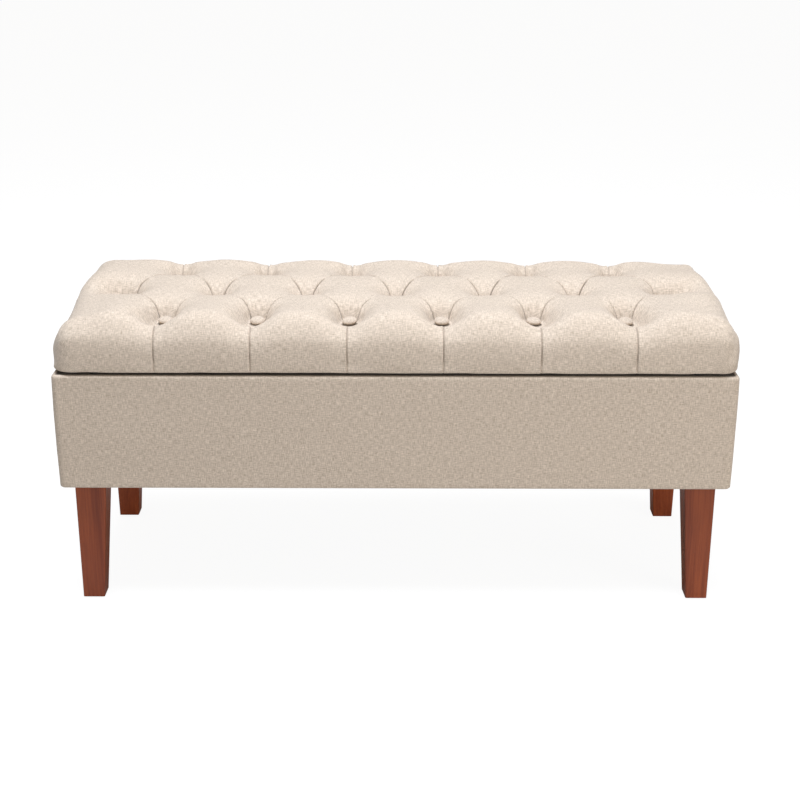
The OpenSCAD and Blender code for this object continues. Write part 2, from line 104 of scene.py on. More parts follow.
SHOULDER = 45 * MM
HEM = 2.6 * MM
TURN_UNDER = 38 * MM
CORNER = 32 * MM
CORE = np.array([HALF_W - SHOULDER, HALF_D - SHOULDER])
T_SIDE = SHOULDER * math.pi / 2
T_HEM = T_SIDE + (SEAT_TOP - SEAT_BOTTOM) - SHOULDER - HEM
T_UNDER = T_HEM + HEM * math.pi / 2
T_END = T_UNDER + TURN_UNDER


def lid_frame(uv):
    """Where each flat point lies on the undimpled lid, its outward normal, and its t."""
    q = np.clip(uv, -CORE, CORE)
    away = uv - q
    t = np.hypot(away[:, 0], away[:, 1])
    n = away / np.maximum(t, 1e-9)[:, None]
    # the plan's corners are tighter than the shoulder
    m = SHOULDER - CORNER
    an = np.abs(n)
    dot = m * (an[:, 0] + an[:, 1])
    reach = dot + np.sqrt(np.maximum(dot**2 - 2 * m * m + CORNER**2, 0))
    reach = np.where(an[:, 1] * SHOULDER <= m * an[:, 0], SHOULDER / np.maximum(an[:, 0], 1e-9), reach)
    reach = np.where(an[:, 0] * SHOULDER <= m * an[:, 1], SHOULDER / np.maximum(an[:, 1], 1e-9), reach)
    k = np.where(t > 0, reach / SHOULDER, 1)
    # the profile: out (o), down (d) and its normal's outward and upward parts
    a1 = np.clip(t / SHOULDER, 0, math.pi / 2)
    a2 = np.clip((t - T_HEM) / HEM, 0, math.pi / 2)
    straight = np.clip(t - T_SIDE, 0, T_HEM - T_SIDE)
    under = np.clip(t - T_UNDER, 0, None)
    o = SHOULDER * np.sin(a1) - HEM * (1 - np.cos(a2)) - under
    d = SHOULDER * (1 - np.cos(a1)) + straight + HEM * np.sin(a2)
    angle = a1 + a2
    pos = np.column_stack([q + n * (o * k)[:, None], SEAT_TOP - d])
    normal = np.column_stack([n * np.sin(angle)[:, None], np.cos(angle)])
    return pos, normal, t


# ---------------------------------------------------------------- tufting


class Pleat:
    """A crease or pleat in the flat fabric: its path, how deep it pulls the foam in along the
    way, how sharp its fold is, and how wide its valley is where it isn't a plain crease."""

    def __init__(self, points, pull, fold, side, wide=0.0):
        self.points = resampled(points, 2.2 * MM)
        self.wide = wide
        steps = np.linalg.norm(np.diff(self.points, axis=0), axis=1)
        self.s = np.concatenate([[0], np.cumsum(steps)])
        self.pull = pull(self.s, self.s[-1])
        self.fold = fold(self.s, self.s[-1])
        self.side = side
        along = np.gradient(self.points, axis=0)
        along /= np.linalg.norm(along, axis=1)[:, None]
        self.across = np.column_stack([-along[:, 1], along[:, 0]])


def resampled(points, step):
    """A smooth curve through the points, at even steps."""
    p = np.array(points, float)
    dense = []
    for i in range(len(p) - 1):
        p0, p1, p2, p3 = p[max(i - 1, 0)], p[i], p[i + 1], p[min(i + 2, len(p) - 1)]
        for f in np.linspace(0, 1, 24, endpoint=False):
            dense.append(
                0.5 * (2 * p1 + (p2 - p0) * f + (2 * p0 - 5 * p1 + 4 * p2 - p3) * f**2
                       + (3 * p1 - p0 - 3 * p2 + p3) * f**3)
            )
    dense = np.array(dense + [p[-1]])
    s = np.concatenate([[0], np.cumsum(np.linalg.norm(np.diff(dense, axis=0), axis=1))])
    at = np.linspace(0, s[-1], max(int(s[-1] / step), 2) + 1)
    return np.column_stack([np.interp(at, s, dense[:, i]) for i in (0, 1)])


BUTTON_ROWS = {}
for row, count in (("front", 6), ("middle", 7), ("rear", 6)):
    lo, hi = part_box(f"buttons_{row}_row")
    radius = (hi[1] - lo[1]) / 2
    xs = np.linspace(lo[0] + radius, hi[0] - radius, count)
    BUTTON_ROWS[row] = [np.array([x, (lo[1] + hi[1]) / 2]) for x in xs]
BUTTON_R = radius
BUTTON_FOOT = lo[2]
BUTTON_TOP = hi[2]
WELL = SEAT_TOP - BUTTON_FOOT
BUTTONS = [b for row in BUTTON_ROWS.values() for b in row]

FOLD_DEPTH = 7.0 * MM
CROWN = 2.6 * MM
# how deep a crease lies half way, and a pleat at the front or rear hem and at an end's hem
CREASE_PULL = 7 * MM
HEM_PULL = 1.6 * MM
END_PULL = 1 * MM
BUTTON_REACH = 19 * MM


def diagonal_pull(s, length):
    """Deep beside both buttons and shallow half way."""
    start = np.exp(-np.maximum(s - BUTTON_R, 0) / BUTTON_REACH)
    end = np.exp(-np.maximum(length - s - BUTTON_R, 0) / BUTTON_REACH)
    return CREASE_PULL + (WELL - CREASE_PULL) * np.clip(start + end, 0, 1)


def easing_pull(low, start, end):
    """Over the edge and down the side, easing out from WELL to low on the way to the hem."""

    def pull(s, length):
        return low + (WELL - low) * (1 - smoothstep(start, end, s))

    return pull


front_pull = easing_pull(HEM_PULL, 18 * MM, 142 * MM)
rear_pull = easing_pull(HEM_PULL, 2 * MM, 76 * MM)
end_pull = easing_pull(END_PULL, 4 * MM, 105 * MM)


def diagonal_fold(strong_start, strong_end):
    def fold(s, length):
        f = s / length
        start = 1 - smoothstep(0.30, 0.56, f)
        end = smoothstep(0.50, 0.72, f)
        return FOLD_DEPTH * np.maximum(strong_start * start, strong_end * end)

    return fold


def edge_fold(s, length):
    """Sharp all the way down to the hem."""
    rise = smoothstep(0, 16 * MM, s - 6 * MM)
    over = smoothstep(0, 5 * MM, length - s)
    return FOLD_DEPTH * 0.48 * rise * (0.15 + 0.85 * over)


def no_fold(s, length):
    return 0 * s


def pleats():
    made = []
    front, middle, rear = (BUTTON_ROWS[r] for r in ("front", "middle", "rear"))
    wobble = np.random.default_rng(11)
    for i in range(len(front)):
        for row, across in ((front, 1), (rear, -1)):
            b = row[i]
            for j, direction in ((i, -1), (i + 1, 1)):
                end = middle[j]
                bow = np.array([direction * 1.0, -across * 0.6]) * wobble.uniform(1, 4) * MM
                strength = 1.0 if direction < 0 else 0.62
                strength *= wobble.uniform(0.85, 1.1)
                made.append(
                    Pleat([b, (b + end) / 2 + bow, end], diagonal_pull,
                          diagonal_fold(strength, strength * 0.8), -direction * across)
                )
            # over the edge: it leaves the button a little outwards and then runs straight down
            outward = (b[0] / HALF_W) * 7 * MM + wobble.uniform(-2.5, 2.5) * MM
            y_edge = -across * (CORE[1] + T_UNDER - 1 * MM)
            y_turn = -across * CORE[1]
            path = [b, [b[0] + outward * 0.55, (b[1] + y_turn) / 2], [b[0] + outward, y_turn],
                    [b[0] + outward, (y_turn + y_edge) / 2], [b[0] + outward, y_edge]]
            pull, wide = (front_pull, 27 * MM) if across > 0 else (rear_pull, 17 * MM)
            made.append(Pleat(path, pull, edge_fold, -1 if b[0] < 0.5 * HALF_W else 1, wide))
    for b, direction in ((middle[0], -1), (middle[-1], 1)):
        x_edge = direction * (CORE[0] + T_SIDE + 30 * MM)
        path = [b, [(b[0] + x_edge) / 2, b[1]], [x_edge, b[1]]]
        made.append(Pleat(path, end_pull, no_fold, 1, 30 * MM))
    return made


PLEATS = pleats()

# The fabric is a membrane on elastic foam. Its depth below the undimpled lid is fixed at the
# buttons and along the creases, and everywhere else it relaxes: REACH is how far a pull spreads.
REACH = 31 * MM
CELL = 3 * MM
# the fabric goes a little deeper than the button's foot, and its well is wider than the button
SUNK = 2 * MM
WELL_R = 14 * MM
ROUNDS = 160
OVER_RELAXATION = 1.75


def relaxed_depth():
    """The depth on a grid over the flat fabric, with the grid's first corner."""
    half = CORE + T_END
    nx, ny = (int(2 * h / CELL) + 3 for h in half)
    x0, y0 = -(nx - 1) / 2 * CELL, -(ny - 1) / 2 * CELL
    depth = np.zeros((nx, ny))
    held = np.zeros((nx, ny))
    fixed = np.zeros((nx, ny), bool)

    def hold(points, values):
        gx = np.rint((points[:, 0] - x0) / CELL).astype(int)
        gy = np.rint((points[:, 1] - y0) / CELL).astype(int)
        np.maximum.at(held, (gx, gy), values)
        fixed[gx, gy] = True

    for p in PLEATS:
        if not p.wide:
            hold(p.points, p.pull)
    gx, gy = np.meshgrid(x0 + CELL * np.arange(nx), y0 + CELL * np.arange(ny), indexing="ij")
    for b in BUTTONS:
        away = np.hypot(gx - b[0], gy - b[1])
        inside = away < BUTTON_R * 0.95
        rim = (away < WELL_R) & ~inside
        held[inside] = WELL + SUNK
        held[rim] = np.maximum(held[rim], WELL + 0.5 * MM)
        fixed |= inside | rim
    stiffness = 4 + (CELL / REACH) ** 2
    depth[fixed] = held[fixed]
    parity = np.add.outer(np.arange(nx), np.arange(ny)) % 2 == 0
    inner = np.zeros((nx, ny), bool)
    inner[1:-1, 1:-1] = True
    for _ in range(ROUNDS):
        for colour in (parity, ~parity):
            around = np.zeros_like(depth)
            around[1:-1, 1:-1] = depth[2:, 1:-1] + depth[:-2, 1:-1] + depth[1:-1, 2:] + depth[1:-1, :-2]
            new = depth + OVER_RELAXATION * (around / stiffness - depth)
            change = colour & inner & ~fixed
            depth[change] = new[change]
    # the pleats over the edges lie in wide, soft saddles
    grid = np.column_stack([gx.ravel(), gy.ravel()])
    flat = depth.ravel()
    for p in PLEATS:
        if p.wide:
            near, saddle = saddle_depth(p, grid)
            flat[near] = (flat[near] ** 3 + saddle**3) ** (1 / 3)
    depth = np.minimum(flat.reshape(depth.shape), WELL + SUNK)
    return depth, x0, y0


def saddle_depth(pleat, grid):
    """Which grid points are near a wide pleat, and how deep its valley is there."""
    path = kdtree.KDTree(len(pleat.points))
    for i, q in enumerate(pleat.points):
        path.insert((q[0], q[1], 0), i)
    path.balance()
    box_lo = pleat.points.min(0) - 3 * pleat.wide
    box_hi = pleat.points.max(0) + 3 * pleat.wide
    near = np.nonzero(((grid > box_lo) & (grid < box_hi)).all(1))[0]
    floor_width = 15 * MM if pleat.wide > 20 * MM else 8 * MM
    saddle = np.zeros(len(near))
    for k, g in enumerate(near):
        _, i, away = path.find((grid[g, 0], grid[g, 1], 0))
        flat_floor = floor_width * (1 - smoothstep(40 * MM, 100 * MM, pleat.s[i]))
        away = max(away - flat_floor, 0)
        width = pleat.wide * (0.5 + 0.5 * smoothstep(10 * MM, 80 * MM, pleat.s[i]))
        saddle[k] = pleat.pull[i] * math.exp(-((away / width) ** 1.45))
    return near, saddle


DEPTH, DEPTH_X0, DEPTH_Y0 = relaxed_depth()


def sample_depth(uv):
    """The relaxed depth at any flat points."""
    gx = np.clip((uv[:, 0] - DEPTH_X0) / CELL, 0, DEPTH.shape[0] - 1.001)
    gy = np.clip((uv[:, 1] - DEPTH_Y0) / CELL, 0, DEPTH.shape[1] - 1.001)
    ix, iy = gx.astype(int), gy.astype(int)
    fx, fy = gx - ix, gy - iy
    near_row = DEPTH[ix, iy] * (1 - fx) + DEPTH[ix + 1, iy] * fx
    far_row = DEPTH[ix, iy + 1] * (1 - fx) + DEPTH[ix + 1, iy + 1] * fx
    return near_row * (1 - fy) + far_row * fy


def end_shape(uv):
    """How far the two ends, the rear corners and the front edge sink below the even lid, or
    stand out from it where the value is negative."""
    past = np.abs(uv[:, 0]) - CORE[0]
    sag_band = smoothstep(-60 * MM, 22 * MM, past) * (1 - smoothstep(48 * MM, 88 * MM, past))
    full_band = smoothstep(6 * MM, 34 * MM, past) * (1 - smoothstep(48 * MM, 88 * MM, past))
    along = np.array([-210, -180, -150, -120, -90, -60, -30, 0, 40, 80, 120, 165, 200]) * MM
    left = np.array([1, 9, 15, 14, 12, 10, 6, 1, -2, -1, -1, -2, 0]) * MM
    right = np.array([0, 5, 9, 8, 4, 0, -3, -4, -4, -5, -7, -8, -3]) * MM
    v = uv[:, 1]
    shape = np.where(uv[:, 0] < 0, np.interp(v, along, left), np.interp(v, along, right))
    front_past = -v - CORE[1]
    # the front edge is rolled rounder than the shoulder's arc
    roll = 4 * MM * np.exp(-(((front_past - 45 * MM) / (26 * MM)) ** 2))
    rear = smoothstep(60 * MM, 150 * MM, v) * smoothstep(-90 * MM, 5 * MM, past)
    rear *= (1 - smoothstep(40 * MM, 76 * MM, past)) * np.where(uv[:, 0] < 0, 3.5 * MM, 9 * MM)
    cheek = smoothstep(46 * MM, 66 * MM, past) * (1 - smoothstep(-120 * MM, 0, v)) * (uv[:, 0] > 0)
    edges = roll + rear - 3.2 * MM * cheek
    return np.maximum(shape, 0) * sag_band + np.minimum(shape, 0) * full_band + edges


def lid_surface(uv, fold, shift, inset):
    """The lid's surface over the flat points: dimpled, with folds, and inset below the outside."""
    pos, normal, t = lid_frame(uv)
    fade = 1 - smoothstep(T_HEM - 12 * MM, T_UNDER, t)
    slack = value_noise(uv[:, 0], uv[:, 1], 3, 60 * MM) * 0.9 * MM
    slack += value_noise(uv[:, 0], uv[:, 1], 4, 22 * MM) * 0.25 * MM
    dimple = sample_depth(uv)
    crown = CROWN * (1 - dimple / WELL) * (0.45 + 0.55 * normal[:, 2])
    depth = (dimple + slack + end_shape(uv) - crown) * fade + fold + inset
    pos = pos - normal * depth[:, None]
    # the hem is pulled up unevenly by its staples
    hem = smoothstep(T_HEM - 22 * MM, T_HEM, t)
    pull = 0.2 * MM + 0.6 * MM * value_noise(uv[:, 0], uv[:, 1], 5, 34 * MM)
    pos[:, 2] += hem * np.maximum(pull, 0)
    pos[:, :2] += shift
    return pos


# ---------------------------------------------------------------- triangulation

FOLD_ROWS = np.array([-9.0, -6.0, -4.0, -2.7, -1.7, -0.8, 0.0, 0.8, 1.7, 2.7, 4.0, 6.0, 9.0]) * MM


def fold_profile(d):
    """Inward depth and sideways lean across a fold, d from its line towards its lip."""
    groove = np.exp(-((d / (1.35 * MM)) ** 2))
    lip = np.exp(-(((d - 2.9 * MM) / (1.9 * MM)) ** 2))
    return groove - 0.24 * lip, -0.22 * np.exp(-(((d - 1.8 * MM) / (1.4 * MM)) ** 2))


def core_loop(distance, step, turns, with_ends):
    """Flat points all round the core rectangle at one distance from it: evenly along each side,
    with or without its ends, and at the angles in turns about each corner."""
    points = []
    corners = [np.array(c) * CORE for c in ((-1, -1), (1, -1), (1, 1), (-1, 1))]
    for i, a in enumerate(corners):
        b = corners[(i + 1) % 4]
        out = np.array([b[1] - a[1], a[0] - b[0]])
        out /= np.linalg.norm(out)
        n = int(np.linalg.norm(b - a) / step)
        along = np.linspace(0, 1, n) if with_ends else np.linspace(0, 1, n, endpoint=False)[1:]
        for f in along:
            points.append(a + (b - a) * f + out * distance)
        start = math.atan2(out[1], out[0])
        for f in turns:
            points.append(b + distance * np.array([math.cos(start + f), math.sin(start + f)]))
    return np.array(points)


def lattice_points(spacing):
    """An even triangular lattice over the flat fabric, just short of its edge."""
    half = CORE + T_END
    lattice = []
    for i, v in enumerate(np.arange(-half[1], half[1], spacing * math.sqrt(3) / 2)):
        us = np.arange(-half[0] + (i % 2) * spacing / 2, half[0], spacing)
        lattice.append(np.column_stack([us, np.full(len(us), v)]))
    lattice = np.concatenate(lattice)
    q = np.clip(lattice, -CORE, CORE)
    t = np.hypot(*(lattice - q).T)
    return lattice[t < T_END - 0.45 * spacing]


def unfolded(uv):
    """A group of flat points with no fold and no sideways shift."""
    return uv, np.zeros(len(uv)), np.zeros((len(uv), 2))


def seat_points(spacing, with_folds):
    """Flat points of the lid's skin, with the fold depth and sideways shift of each, and how
    many of them, the first ones, lie round the turned-in edge."""
    ring = core_loop(T_END, 9 * MM, np.linspace(0, math.pi / 2, 15), False)
    # each group, and how near its points may come to those of the groups before it
    groups = [(unfolded(ring), None)]
    if with_folds:
        close = 0.34 * MM
        for p in PLEATS:
            if p.fold.max() <= 0:
                continue
            for row in FOLD_ROWS:
                depth, lean = fold_profile(row)
                uv = p.points + p.across * (row * p.side)
                shift = p.across * p.side * (p.fold * lean)[:, None]
                groups.append(((uv, p.fold * depth, shift), close))
        for b in BUTTONS:
            for i, r in enumerate(np.array([4, 8, 10.5, 12.5, 14.5, 17, 20]) * MM):
                n = int(2 * math.pi * r / (2.6 * MM))
                a = np.arange(n) * 2 * math.pi / n + i * 0.1
                uv = b + r * np.column_stack([np.cos(a), np.sin(a)])
                groups.append((unfolded(uv), close))
        turns = np.linspace(0, math.pi / 2, 40)[1:-1]
        rows = np.linspace(T_HEM - 1 * MM, T_UNDER + 2 * MM, 6)
        hem = np.concatenate([core_loop(row, 4 * MM, turns, True) for row in rows])
        groups.append((unfolded(hem), 0.8 * MM))
    groups.append((unfolded(lattice_points(spacing)), 0.62 * spacing))
    return *thinned(groups), len(ring)


def thinned(groups):
    """Each group's points that aren't too near to an earlier, more important one."""
    kept_uv, kept_fold, kept_shift = [], [], []
    grid = {}
    cell = 2.2 * MM

    def near(p, r):
        cx, cy = int(p[0] // cell), int(p[1] // cell)
        reach = int(r // cell) + 1
        for i in range(cx - reach, cx + reach + 1):
            for j in range(cy - reach, cy + reach + 1):
                for o in grid.get((i, j), ()):
                    if (o[0] - p[0]) ** 2 + (o[1] - p[1]) ** 2 < r * r:
                        return True
        return False

    for (uv, fold, shift), apart in groups:
        for p, f, s in zip(uv.tolist(), fold.tolist(), shift.tolist()):
            if apart and near(p, apart):
                continue
            grid.setdefault((int(p[0] // cell), int(p[1] // cell)), []).append(p)
            kept_uv.append(p)
            kept_fold.append(f)
            kept_shift.append(s)
    return np.array(kept_uv), np.array(kept_fold), np.array(kept_shift)


def triangles(points, ring):
    """Triangles over flat points whose first ones, ring of them, go round the outline."""
    edges = [(i, (i + 1) % ring) for i in range(ring)]
    made = geometry.delaunay_2d_cdt([Vector(p) for p in points], edges, [], 1, 1e-7)
    return np.array([tuple(v) for v in made[0]]), [tuple(f) for f in made[2]]


# the shell is fabric-thick at the hem, and thicker above by the depth of the folds
HEM_T = 1.2 * MM


def seat_cover():
    """The lid's fabric: a closed shell, the outside with every fold and the inside plain."""
    uv, fold, shift, ring = seat_points(4.6 * MM, True)
    outer_faces = triangles(uv, ring)[1]
    outer = lid_surface(uv, fold, shift, 0)
    uv_in, fold_in, shift_in, ring_in = seat_points(11 * MM, False)
    inner_faces = triangles(uv_in, ring_in)[1]
    t = lid_frame(uv_in)[2]
    inset = HEM_T + 6.6 * MM * (1 - smoothstep(T_SIDE, T_HEM, t))
    inner = lid_surface(uv_in, fold_in, shift_in, inset)
    n = len(outer)
    bridge = [(i, (i + 1) % ring, n + (i + 1) % ring, n + i) for i in range(ring)]
    faces = outer_faces + [(n + a, n + c, n + b) for a, b, c in inner_faces] + bridge
    # the third number is painted shade: how deep in a crease a point is, and a ring round each button,
    # where the linen is darkened
    crease = np.clip(fold / FOLD_DEPTH, 0, 1) ** 1.3
    for b in BUTTONS:
        away = np.hypot(uv[:, 0] - b[0], uv[:, 1] - b[1])
        crease = np.maximum(crease, 0.7 * np.exp(-(((away - 1.06 * BUTTON_R) / (1.4 * MM)) ** 2)))
    cloth = np.column_stack([np.concatenate([uv, uv_in]), np.concatenate([crease, fold_in])])
    return mesh_object("seat_fabric", np.concatenate([outer, inner]), faces, cloth)


FOAM_INSET = 9.4 * MM
FOAM_CLEARANCE = 0.4 * MM


def seat_foam():
    """The foam under the fabric, closed below where it lies on the lid's board."""
    uv, _, _, ring = seat_points(11 * MM, False)
    t = lid_frame(uv)[2]
    keep = t < T_HEM - 16 * MM
    edge_t = T_HEM - 12 * MM
    inner = uv[keep]
    q = np.clip(uv[:ring], -CORE, CORE)
    away = uv[:ring] - q
    rim = q + away * (edge_t / T_END)
    uv = np.concatenate([rim, inner])
    top_uv, top_faces = triangles(uv, ring)
    top = lid_surface(top_uv, 0, 0, FOAM_INSET)
    top[:ring, 2] = BOARD_TOP + FOAM_CLEARANCE
    under = triangles(top[:ring, :2], ring)[1]
    faces = top_faces + [(a, c, b) for a, b, c in under]
    return mesh_object("seat_foam_block", top, faces, top_uv)


# ---------------------------------------------------------------- the box's fabric

BASE_CORNER = 10 * MM
BASE_TOP_R = 4.5 * MM
BASE_BOTTOM_R = 4 * MM
FABRIC_T = 1.3 * MM
# from the box's outside to the wall's inner face, where the fabric ends TUCK below the rim
WALL = 20.5 * MM
INNER_R = 2.5 * MM
TUCK = 26 * MM
UNDER = 30 * MM


def plan_ring(spacing):
    """Stations round the box: the core corner each one turns about, its outward direction, and
    the distance run so far."""
    half = np.array([base_hi[0], base_hi[1]]) - BASE_CORNER
    corners = [np.array(c) * half for c in ((-1, -1), (1, -1), (1, 1), (-1, 1))]
    core, out, run = [], [], []
    travelled = 0.0
    for i, a in enumerate(corners):
        b = corners[(i + 1) % 4]
        along = (b - a) / np.linalg.norm(b - a)
        n = np.array([along[1], -along[0]])
        length = np.linalg.norm(b - a)
        count = int(length / spacing)
        for f in np.linspace(0, 1, count + 1):
            core.append(a + (b - a) * f)
            out.append(n)
            run.append(travelled + length * f)
        travelled += length
        for f in np.linspace(0, math.pi / 2, 9)[1:-1]:
            cos_f, sin_f = math.cos(f), math.sin(f)
            core.append(b)
            out.append(np.array([n[0] * cos_f - n[1] * sin_f, n[0] * sin_f + n[1] * cos_f]))
            run.append(travelled + BASE_CORNER * f)
        travelled += BASE_CORNER * math.pi / 2
    return np.array(core), np.array(out), np.array(run)


def base_profile():
    """The fabric's outside from under the box, up the side, over the rim and down inside, as
    inset and height, with each point's outward direction."""
    points, normals = [], []

    def add(inset, z, angle):
        points.append((inset, z))
        normals.append((math.cos(angle), math.sin(angle)))

    for inset in np.linspace(UNDER, BASE_BOTTOM_R, 5):
        add(inset, base_lo[2], -math.pi / 2)
    for a in np.linspace(-math.pi / 2, 0, 7)[1:]:
        add(BASE_BOTTOM_R * (1 - math.cos(a)), base_lo[2] + BASE_BOTTOM_R * (1 + math.sin(a)), a)
    for z in np.linspace(base_lo[2] + BASE_BOTTOM_R, base_hi[2] - BASE_TOP_R, 34)[1:-1]:
        add(0, z, 0)
    for a in np.linspace(0, math.pi / 2, 7):
        add(BASE_TOP_R * (1 - math.cos(a)), base_hi[2] - BASE_TOP_R * (1 - math.sin(a)), a)
    for inset in np.linspace(BASE_TOP_R, WALL - INNER_R, 5)[1:]:
        add(inset, base_hi[2], math.pi / 2)
    for a in np.linspace(math.pi / 2, math.pi, 6)[1:]:
        add(WALL - INNER_R + INNER_R * -math.cos(a), base_hi[2] - INNER_R * (1 - math.sin(a)), a)
    for z in np.linspace(base_hi[2] - INNER_R, base_hi[2] - TUCK, 5)[1:]:
        add(WALL, z, math.pi)
    return np.array(points), np.array(normals)


def base_fabric():
    """The box's cover: a band with two skins, each a little puffed out and rippled outside."""
    core, out, run = plan_ring(7 * MM)
    profile, facing = base_profile()
    length = np.concatenate([[0], np.cumsum(np.linalg.norm(np.diff(profile, axis=0), axis=1))])
    height = base_hi[2] - base_lo[2]
    # from this row on the material turns near-black: painted shade for the dark gap under the lid, where
    # the lid shades the rim
    rim_start = int(np.nonzero(facing[:, 1] > 0.99)[0][0]) + 1
    rows, cloth = [], []
    n_s, n_p = len(core), len(profile)
    for layer in (0, FABRIC_T):
        for i in range(n_p):
            inset = profile[i, 0] + facing[i, 0] * layer
            z = profile[i, 1] - facing[i, 1] * layer
            up = np.clip((profile[i, 1] - base_lo[2]) / height, 0, 1)
            outside = max(facing[i, 0], 0)
            puff = 0.9 * MM * math.sin(math.pi * up) ** 0.7 * outside
            ripple = value_noise(run, np.full(n_s, z), 21, 95 * MM) * 0.55 * MM * outside
            ripple += value_noise(run, np.full(n_s, z), 22, 30 * MM) * 0.16 * MM * outside
            turn = BASE_CORNER - inset
            radius = np.maximum(turn, 0) + (puff + ripple) * math.sin(math.pi * min(up * 1.02, 1)) ** 0.4
            half = np.array([base_hi[0], base_hi[1]]) - BASE_CORNER
            shrink = max(-turn, 0)
            centre = np.sign(core) * np.minimum(np.abs(core), half - shrink)
            xy = centre + out * radius[:, None]
            rows.append(np.column_stack([xy, np.full(n_s, z)]))
            painted_gap_shade = 1.0 if i >= rim_start else 0.0
            cloth.append(np.column_stack([run, np.full(n_s, length[i]), np.full(n_s, painted_gap_shade)]))
    verts = np.concatenate(rows)
    flat = np.concatenate(cloth)
    faces = []

    def at(layer, i, j):
        return (layer * n_p + i) * n_s + j % n_s

    for j in range(n_s):
        for i in range(n_p - 1):
            faces.append((at(0, i, j), at(0, i, j + 1), at(0, i + 1, j + 1), at(0, i + 1, j)))
            faces.append((at(1, i, j + 1), at(1, i, j), at(1, i + 1, j), at(1, i + 1, j + 1)))
        for i, flip in ((0, False), (n_p - 1, True)):
            quad = (at(1, i, j), at(1, i, j + 1), at(0, i, j + 1), at(0, i, j))
            faces.append(quad[::-1] if flip else quad)
    obj = mesh_object("base_fabric", verts, faces, flat)
    bm = bmesh.new()
    bm.from_mesh(obj.data)
    bmesh.ops.remove_doubles(bm, verts=bm.verts, dist=0.02 * MM)
    bmesh.ops.dissolve_degenerate(bm, edges=bm.edges, dist=0.01 * MM)
    bm.to_mesh(obj.data)
    bm.free()
    return obj


# ---------------------------------------------------------------- covered buttons


# a pulled button's dome stands a little above the CAD's, and is a little wider
LIFT = 1.3 * MM
SPREAD = 1.09


def button_row(name, places, seed):
    """Fabric-covered buttons, each a low dome whose cloth is gathered under its rim."""
    gen = np.random.default_rng(seed)
    height = BUTTON_TOP - BUTTON_FOOT
    outline = [(0, 1), (0.18, 0.995), (0.36, 0.98), (0.54, 0.94), (0.70, 0.87), (0.83, 0.76),
               (0.92, 0.63), (0.975, 0.49), (1.0, 0.35), (0.99, 0.20), (0.94, 0.08), (0.82, 0.0)]
    around = 48
    verts, faces, cloth = [], [], []
    for b in places:
        spin = Matrix.Rotation(gen.uniform(0, 6.28), 3, "Z")
        turn = Euler((gen.uniform(0.10, 0.20), gen.uniform(-0.12, 0.12), 0)).to_matrix() @ spin
        start = len(verts)
        origin = gen.uniform(-1, 1, 2)
        count = 14 + int(gen.integers(0, 3))
        phase = gen.uniform(0, 6.28)
        foot = Vector((b[0], b[1], BUTTON_FOOT + LIFT))
        verts.append(turn @ Vector((0, 0, height)) + foot)
        cloth.append((*origin, 0))
        for r, h in outline[1:]:
            for a in range(around):
                angle = a * 2 * math.pi / around
                gather = 1 + 0.018 * math.sin(count * angle + phase) * smoothstep(0.5, 1, r)
                radius = SPREAD * BUTTON_R * r * gather
                p = Vector((radius * math.cos(angle), radius * math.sin(angle), height * h))
                verts.append(turn @ p + foot)
                reach = BUTTON_R * (r + 0.6 * (1 - h))
                u, v = origin[0] + reach * math.cos(angle), origin[1] + reach * math.sin(angle)
                # the third number paints shade on the dome's underside, under its rim
                cloth.append((u, v, 0.85 if h < 0.1 else 0.0))
        for a in range(around):
            nxt = (a + 1) % around
            faces.append((start, start + 1 + a, start + 1 + nxt))
            for k in range(len(outline) - 2):
                p, q = start + 1 + k * around, start + 1 + (k + 1) * around
                faces.append((p + a, q + a, q + nxt, p + nxt))
        last = start + 1 + (len(outline) - 2) * around
        faces.append(tuple(last + a for a in range(around))[::-1])
    return mesh_object(name, verts, faces, np.array(cloth))


# ---------------------------------------------------------------- materials


class Nodes:
    """A short way to write a node tree."""

    def __init__(self, name):
        self.material = bpy.data.materials.new(name)
        self.material.use_nodes = True
        self.tree = self.material.node_tree
        self.tree.nodes.clear()
        self.shader = self.tree.nodes.new("ShaderNodeBsdfPrincipled")
        output = self.tree.nodes.new("ShaderNodeOutputMaterial")
        self.tree.links.new(self.shader.outputs[0], output.inputs[0])

    def add(self, kind, inputs=None, **settings):
        node = self.tree.nodes.new("ShaderNode" + kind)
        for key, value in settings.items():
            setattr(node, key, value)
        for key, value in (inputs or {}).items():
            self.put(node.inputs[key], value)
        return node

    def put(self, socket, value):
        if isinstance(value, bpy.types.NodeSocket):
            self.tree.links.new(value, socket)
        else:
            socket.default_value = value

    def math(self, operation, a, b=0.0):
        return self.add("Math", {0: a, 1: b}, operation=operation).outputs[0]

    def mix(self, factor, a, b, blend="MIX"):
        node = self.add("Mix", data_type="RGBA", blend_type=blend)
        self.put(node.inputs[0], factor)
        self.put(node.inputs[6], a)
        self.put(node.inputs[7], b)
        return node.outputs[2]

    def noise(self, vector, scale, detail=2.0, roughness=0.5):
        inputs = {"Vector": vector, "Scale": scale, "Detail": detail, "Roughness": roughness}
        return self.add("TexNoise", inputs).outputs[0]

    def stretched(self, vector, x, y, z=1.0):
        return self.add("Mapping", {"Vector": vector, "Scale": (x, y, z)}).outputs[0]

    def ramp(self, value, low, high, to_low=0.0, to_high=1.0):
        inputs = {0: value, 1: low, 2: high, 3: to_low, 4: to_high}
        return self.add("MapRange", inputs).outputs[0]

    def surface(self, **values):
        for key, value in values.items():
            self.put(self.shader.inputs[key.replace("_", " ")], value)

    def bump(self, height, strength, distance):
        node = self.add("Bump", {"Height": height, "Strength": strength, "Distance": distance})
        self.put(self.shader.inputs["Normal"], node.outputs[0])


